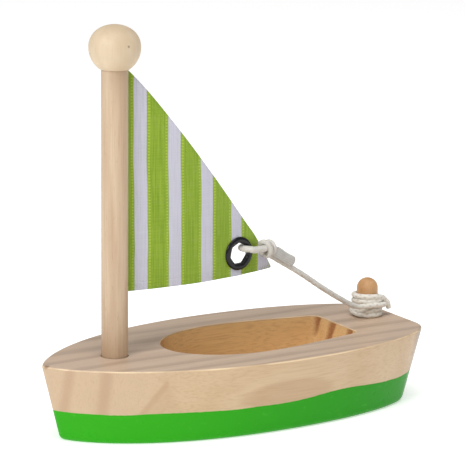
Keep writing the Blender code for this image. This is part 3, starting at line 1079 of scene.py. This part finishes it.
def make_ball():
    hole = MAST_RADIUS + 0.2
    mouth_ease = 0.35
    crown = []
    for i in range(28):
        angle = math.radians(90 * i / 28)
        crown.append((BALL_RADIUS * math.sin(angle), BALL_TOP_HALF * math.cos(angle) ** 0.9))
    mouth = -math.degrees(math.acos((hole + mouth_ease) / BALL_RADIUS))
    lower = arc((0, 0), BALL_RADIUS, 0, mouth, 26)
    low_z = lower[-1][1]
    hole_top = MAST_HIGH.z + 0.3 - BALL_Z
    inner = [(hole, low_z + mouth_ease), (hole, hole_top), (0.0, hole_top)]
    bm = lathe(crown + lower + inner, 96)
    bmesh.ops.translate(bm, vec=(MAST_X, 0.0, BALL_Z), verts=bm.verts)
    wood = turned_wood(
        "beech ball",
        srgb(217, 197, 168),
        srgb(203, 181, 150),
        srgb(190, 152, 118),
        0.2,
        0.13,
        grain=0.12,
        speck=(MAST_X - 0.6, 9.4, BALL_Z + 1.4),
    )
    ball = finished("ball_turned", bm, wood)
    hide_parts("mast_ball")
    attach(ball, "rig")


def make_peg():
    """A dowel with a domed top, eased where the dome meets the side."""
    dome = arc((0, PEG_HIGH.z - PEG_RADIUS), PEG_RADIUS, 90, 0, 22)
    dome[0] = (0.0, PEG_HIGH.z)
    sides = [(PEG_RADIUS, PEG_LOW.z + 0.3), (PEG_RADIUS - 0.3, PEG_LOW.z), (0.0, PEG_LOW.z)]
    bm = lathe(dome + sides, 72)
    bmesh.ops.translate(bm, vec=(PEG_X, PEG_Y, 0.0), verts=bm.verts)
    wood = turned_wood(
        "beech peg", srgb(204, 160, 112), srgb(186, 138, 88), srgb(158, 108, 68), 0.3, 0.3
    )
    peg = finished("peg_dowel", bm, wood)
    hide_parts("cleat_peg")
    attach(peg, "boat")


# ---------------------------------------------------------------- sail and eyelet


def cloth_y(x):
    """How far the sail's cloth stands out to port at station x; it leaves the slot flat."""
    share = (CLOTH_X - x) / (CLOTH_X - CLEW_X)
    if share <= 0:
        return 0.0
    easing = 1 - math.exp(-share / 0.03)
    return 4 * BELLY * share * (1 - share) * easing


def cloth_normal(x):
    """The cloth's unit normal towards port at station x."""
    step = 0.01
    slope = (cloth_y(x + step) - cloth_y(x - step)) / (2 * step)
    return Vector((-slope, 1, 0)).normalized()


def leech_z(x):
    """The sail's upper edge: level in the slot, then down the leech to the clew."""
    if x >= CLOTH_X:
        return HEAD_Z
    corner_x, corner_z = LEECH_CORNER
    if x >= corner_x:
        share = (CLOTH_X - x) / (CLOTH_X - corner_x)
        swell = LEECH_ROUND * math.sqrt(share) * (1 - share) ** 1.5
        return HEAD_Z + (corner_z - HEAD_Z) * share + swell
    tip_z = CLEW_Z + 0.7
    return corner_z + (tip_z - corner_z) * (corner_x - x) / (corner_x - CLEW_X)


def foot_z(x):
    share = max(0.0, CLOTH_X - x) / (CLOTH_X - CLEW_X)
    return TACK_Z + (CLEW_Z - TACK_Z) * share**0.8


def eyelet_centre():
    return Vector((EYELET_X, cloth_y(EYELET_X), EYELET_Z))


def eyelet_point(aft, out, up):
    """A point beside the eyelet: along the cloth towards the clew, out to port, and up."""
    normal = cloth_normal(EYELET_X)
    along = Vector((-normal.y, normal.x, 0))
    return eyelet_centre() + along * aft + normal * out + Vector((0, 0, up))


def pucker(x, z):
    """Small tension folds that run out of the eyelet, and the cloth's slow drift in and out."""
    dx = x - EYELET_X
    dz = z - EYELET_Z
    away = math.hypot(dx, dz)
    start = min(1.0, max(0.0, (away - EYELET_RADIUS) / 3.0))
    folds = math.cos(5 * math.atan2(dz, dx) + 0.9) * math.exp(-away / 11.0)
    drift = 0.25 * noise.noise(Vector((x * 0.06, z * 0.05, 2.0)))
    free = min(1.0, max(0.0, (CLOTH_X - x) / 12.0))
    hemmed = min(1.0, max(0.0, (x - CLEW_X) / 9.0))
    return start * 0.45 * folds * hemmed + drift * free * start


def sail_stations():
    in_slot = [LUFF_X, (LUFF_X + CLOTH_X) / 2, CLOTH_X]
    corner_x = LEECH_CORNER[0]
    count = 92
    cloth = [CLOTH_X + (corner_x - CLOTH_X) * i / count for i in range(1, count + 1)]
    clew = [corner_x + (CLEW_X - corner_x) * i / 14 for i in range(1, 15)]
    return in_slot + cloth + clew


def edge_distance(x, z):
    """How far a point of the cloth lies inside the leech and the foot, the nearer one."""
    corner_x = LEECH_CORNER[0]
    slope = (leech_z(x + 0.05) - leech_z(x - 0.05)) / 0.1
    if x >= CLOTH_X or abs(x - corner_x) < 0.05:
        slope = 1.25
    below_leech = (leech_z(x) - z) / math.sqrt(1 + slope**2)
    return min(below_leech, z - foot_z(x))


def sail_sheet():
    """The cloth's middle surface: a grid of upright rulings with its flat position as UV."""
    rows = 60
    bm = bmesh.new()
    hem = bm.verts.layers.float.new("hem")
    clew = bm.verts.layers.float.new("clew_stitch")
    uv = bm.loops.layers.uv.new("flat")
    flat = {}
    columns = []
    way = -(LUFF_X - CLOTH_X)
    last = None
    for x in sail_stations():
        here = Vector((x, cloth_y(x), 0.0))
        way += 0.0 if last is None else (here - last).length
        last = here
        low, high = foot_z(x), leech_z(x)
        column = []
        for i in range(rows + 1):
            z = low + (high - low) * i / rows
            place = here + cloth_normal(x) * pucker(x, z) + Vector((0, 0, z))
            vert = bm.verts.new(place)
            vert[hem] = edge_distance(x, z)
            at_tip = min(1.0, max(0.0, (-12.5 - x) / 1.5))
            near_foot = min(1.0, max(0.0, 1.0 - (z - low) / 1.9))
            vert[clew] = at_tip * near_foot
            flat[vert] = (way, z)
            column.append(vert)
        columns.append(column)
    for a, b in zip(columns, columns[1:]):
        for i in range(rows):
            face = bm.faces.new((a[i], a[i + 1], b[i + 1], b[i]))
            for loop in face.loops:
                loop[uv].uv = flat[loop.vert]
    return bm, way


def sheet_area(bm):
    return sum(face.calc_area() for face in bm.faces)


def make_sail():
    bm, flat_width = sail_sheet()
    area = sheet_area(bm)
    sail = finished("sail_cloth", bm, sail_material(), sharp_degrees=60.0)
    solidify = sail.modifiers.new("cloth", "SOLIDIFY")
    solidify.thickness = CLOTH_THICKNESS * MM
    solidify.offset = 0.0
    hole = cylinder_bm(BARREL_RADIUS + EYELET_GAP, -6.0, 6.0)
    turn = cloth_normal(EYELET_X).to_track_quat("Z", "Y").to_matrix().to_4x4()
    bmesh.ops.transform(hole, matrix=Matrix.Translation(eyelet_centre()) @ turn, verts=hole.verts)
    cut(sail, [hole])
    shade(sail, 60.0, flat_caps=False)
    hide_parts("sail")
    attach(sail, "rig")
    in_slot = LUFF_X - CLOTH_X
    (flat_width + in_slot) * MM
    area * MM**2


def petal_radius(angle):
    """The eyelet's opening: a rounded heptagon with a flat petal at the bottom."""
    sector = 2 * math.pi / PETALS
    off = (angle + math.pi / 2 + sector / 2) % sector - sector / 2
    straight = EYELET_HOLE * math.cos(sector / 2) / math.cos(off) + 0.12
    return 0.85 * straight + 0.15 * EYELET_HOLE


def make_eyelet_flange():
    """The flange's rolled rim and the barrel through the cloth, swept round a heptagon."""
    face = EYELET_FACE
    crest = 0.85
    back = face + 0.45
    bm = bmesh.new()
    rings = []
    for angle in around(168):
        inner = petal_radius(angle)
        section = []
        for k in range(17):
            turn = math.pi * k / 16
            share = 0.5 - 0.5 * math.cos(turn)
            lift = crest * math.sin(turn) ** 0.75
            section.append((inner + (EYELET_RADIUS - inner) * share, face + lift))
        section += [(EYELET_RADIUS - 0.25, face - 0.05), (BARREL_RADIUS, face - 0.05)]
        section += [(BARREL_RADIUS, -back), (inner + 0.1, -back), (inner, -back + 0.15)]
        x, z = math.cos(angle), math.sin(angle)
        rings.append([bm.verts.new((r * x, r * z, out)) for r, out in section])
    join_rings(bm, rings + [rings[0]])
    flange = finished_at_eyelet("eyelet_ring", bm, eyelet_material("black eyelet", (14, 13, 18)))
    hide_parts("eyelet_flange")
    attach(flange, "rig")


def make_eyelet_washer():
    """The flat ring that the barrel is set against, behind the cloth."""
    inner = BARREL_RADIUS + EYELET_GAP
    top = 0.02 - EYELET_FACE
    low = -EYELET_FACE - 0.4
    ring = [(inner, top), (EYELET_RADIUS - 0.2, top), (EYELET_RADIUS, top - 0.2)]
    ring += [(EYELET_RADIUS - 0.35, low + 0.1), (EYELET_RADIUS - 0.8, low), (inner, low)]
    bm = lathe(ring, 120, closed=True)
    washer = finished_at_eyelet("eyelet_back", bm, eyelet_material("black washer", (24, 23, 28)))
    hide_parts("eyelet_washer")
    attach(washer, "rig")


def finished_at_eyelet(name, bm, material):
    """Puts a mesh made about Z (its X towards the mast, its Y up) on the cloth at the eyelet."""
    bmesh.ops.recalc_face_normals(bm, faces=bm.faces)
    normal = cloth_normal(EYELET_X)
    up = Vector((0, 0, 1))
    along = up.cross(normal)
    axes = Matrix((along, up, normal)).transposed().to_4x4()
    bmesh.ops.transform(bm, matrix=Matrix.Translation(eyelet_centre()) @ axes, verts=bm.verts)
    return finished(name, bm, material, sharp_degrees=50.0)


# ---------------------------------------------------------------- cord

# The loop's route beside the eyelet, from the knot through the hole and round the leech, each
# point as (towards the clew, out to port, up)
LOOP_ROUTE = [
    (15.0, 1.7, 0.4),
    (12.2, 2.1, 0.8),
    (9.5, 2.7, 0.95),
    (7.2, 2.8, 1.0),
    (5.2, 2.95, 1.15),
    (3.5, 2.5, 1.6),
    (2.4, 0.9, 1.6),
    (2.4, -1.2, 1.6),
    (4.0, -2.6, 1.4),
    (6.5, -2.75, 1.0),
    (9.5, -2.7, 0.3),
    (12.6, -2.6, -0.5),
    (14.6, -1.3, -0.9),
    (14.8, 0.8, -0.6),
]
# The knot's one strand, wrapped over itself
KNOT_ROUTE = [
    (-13.8, 2.0, 61.9),
    (-12.9, 1.9, 64.3),
    (-12.9, 2.9, 66.5),
    (-14.0, 4.4, 66.9),
    (-15.2, 5.4, 65.3),
    (-15.7, 5.3, 63.1),
    (-15.3, 4.1, 61.5),
    (-14.8, 2.2, 61.9),
    (-15.3, 1.5, 64.2),
    (-16.1, 2.4, 66.4),
    (-17.1, 3.9, 66.2),
    (-17.7, 4.6, 64.6),
    (-17.8, 4.2, 62.9),
    (-17.3, 3.2, 62.0),
]
TAIL_ROUTE = [
    (-16.6, 3.4, 63.6),
    (-18.0, 3.4, 62.9),
    (-20.2, 3.5, 62.0),
    (-22.9, 3.3, 60.1),
    (-25.8, 3.0, 58.4),
    (-28.3, 2.7, 57.2),
]
TAIL_WIDTH = 4.1
TAIL_THICKNESS = 1.0
TAIL_ROUND = 1.3
TAIL_RIBS = 5
RUN_ROUTE = [
    (-16.4, 1.7, 61.9),
    (-18.9, 0.9, 60.3),
    (-32.1, 0.9, 52.1),
    (-43.0, 0.9, 44.6),
    (-53.7, 0.9, 37.9),
    (-59.0, 0.9, 35.4),
    (-63.4, 0.9, 34.9),
]
# The winding round the peg from above, counter-clockwise: where it starts and leaves as
# (degrees, radius, height), and in between the radius and height at every quarter turn
WINDING_START = (90, 6.3, 34.85)
FIRST_QUARTER = 149
QUARTER_RADII = [6.9, 6.3, 5.8, 5.4] + [5.25] * 11 + [5.3]
LOWER_HEIGHTS = [34.1, 32.7, 31.3, 30.65, 30.6, 30.8, 31.7, 32.4]
UPPER_HEIGHTS = [33.0, 34.5, 35.6, 36.2, 36.3, 37.0, 37.8, 38.1]
WINDING_LEAVES = [(1550, 5.4, 37.8), (1583, 6.3, 36.9)]
END_ROUTE = [(-75.3, -1.5, 34.7), (-75.6, -1.4, 33.4), (-76.0, -1.3, 32.1)]


def winding_points():
    """The turns' centre line: angle, radius and height run smoothly between the rows."""
    rows = [WINDING_START]
    for number, (radius, z) in enumerate(zip(QUARTER_RADII, LOWER_HEIGHTS + UPPER_HEIGHTS)):
        rows.append((FIRST_QUARTER + 90 * number, radius, z))
    points = []
    for angle, radius, z in catmull_rom(rows + WINDING_LEAVES, 30):
        a = math.radians(angle)
        points.append(Vector((PEG_X + radius * math.cos(a), PEG_Y + radius * math.sin(a), z)))
    return points


def belayed_line():
    """The cord from the knot down to the peg, round it, and out to its cut end."""
    run = catmull_rom(RUN_ROUTE, 12)
    return run[:-1] + winding_points()[:-2] + catmull_rom(END_ROUTE, 6)


def make_tail(material):
    """The flattened end of the cord beside the run: a ribbed ribbon with a rounded end."""
    points = evenly(catmull_rom(TAIL_ROUTE, 10), 0.2)
    total = line_length(points)
    frames = []
    for tangent in directions(points):
        out = Vector((0, 1, 0))
        out = (out - tangent * out.dot(tangent)).normalized()
        frames.append((tangent.cross(out), out))

    def section(way):
        left = total - way
        squeeze = 1.0
        if left <= TAIL_ROUND:
            squeeze = max(0.25, math.sqrt(1 - (1 - left / TAIL_ROUND) ** 2) * 0.9 + 0.1)
        width = TAIL_WIDTH * min(1.0, 0.6 + 0.4 * way / 2.5) * squeeze
        for angle in around(44):
            share = math.copysign(abs(math.cos(angle)) ** 0.75, math.cos(angle))
            rib = 0.5 + 0.5 * math.cos(math.pi * TAIL_RIBS * share)
            thick = TAIL_THICKNESS / 2 * (0.84 + 0.16 * rib) * min(1.0, 0.5 + squeeze / 2)
            yield width / 2 * share, thick * math.sin(angle), 0.35 + 0.65 * rib

    return swept("cord_tail_ribbon", points, frames, section, material)


def make_cord():
    """The whole cord: its loop and knot at the clew ride with the rig, the rest runs down to the peg,
    round it and out to its cut end.
    """
    cotton = cord_material("cotton cord", srgb(214, 211, 204), srgb(199, 195, 188), srgb(206, 199, 187))
    grey = cord_material("flattened cord", srgb(194, 192, 187), srgb(183, 181, 175), srgb(172, 169, 162))
    loop_line = catmull_rom([eyelet_point(*point) for point in LOOP_ROUTE], 8)
    loop = cord_mesh("cord_loop_braid", loop_line, LOOP_DIAMETER, cotton)
    knot = cord_mesh("cord_knot_braid", catmull_rom(KNOT_ROUTE, 10), KNOT_DIAMETER, cotton)
    tail = make_tail(grey)
    for piece, node in ((loop, "cord_loop"), (knot, "cord_knot"), (tail, "cord_tail")):
        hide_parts(node)
        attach(piece, "rig")
    line = evenly(belayed_line(), CORD_STEP)
    cord = cord_mesh("cord_belayed", line, CORD_DIAMETER, cotton, taper=0.35)
    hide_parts("cord_run", "cord_winding", "cord_end")
    line[0] * MM
    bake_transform(cord)
    line[0] * MM
    line_length(line) * MM
    [p * MM for p in line]


# ---------------------------------------------------------------- the scene


def write_sizes():
    boxes = {"cad": CAD_BOX, "visual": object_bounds()}
    sizes = {name: [list(corner) for corner in corners] for name, corners in boxes.items()}


place_camera()
light_studio()
lay_floor()
make_cord()
make_hull()
make_mast()
make_ball()
make_peg()
make_sail()
make_eyelet_flange()
make_eyelet_washer()
write_sizes()
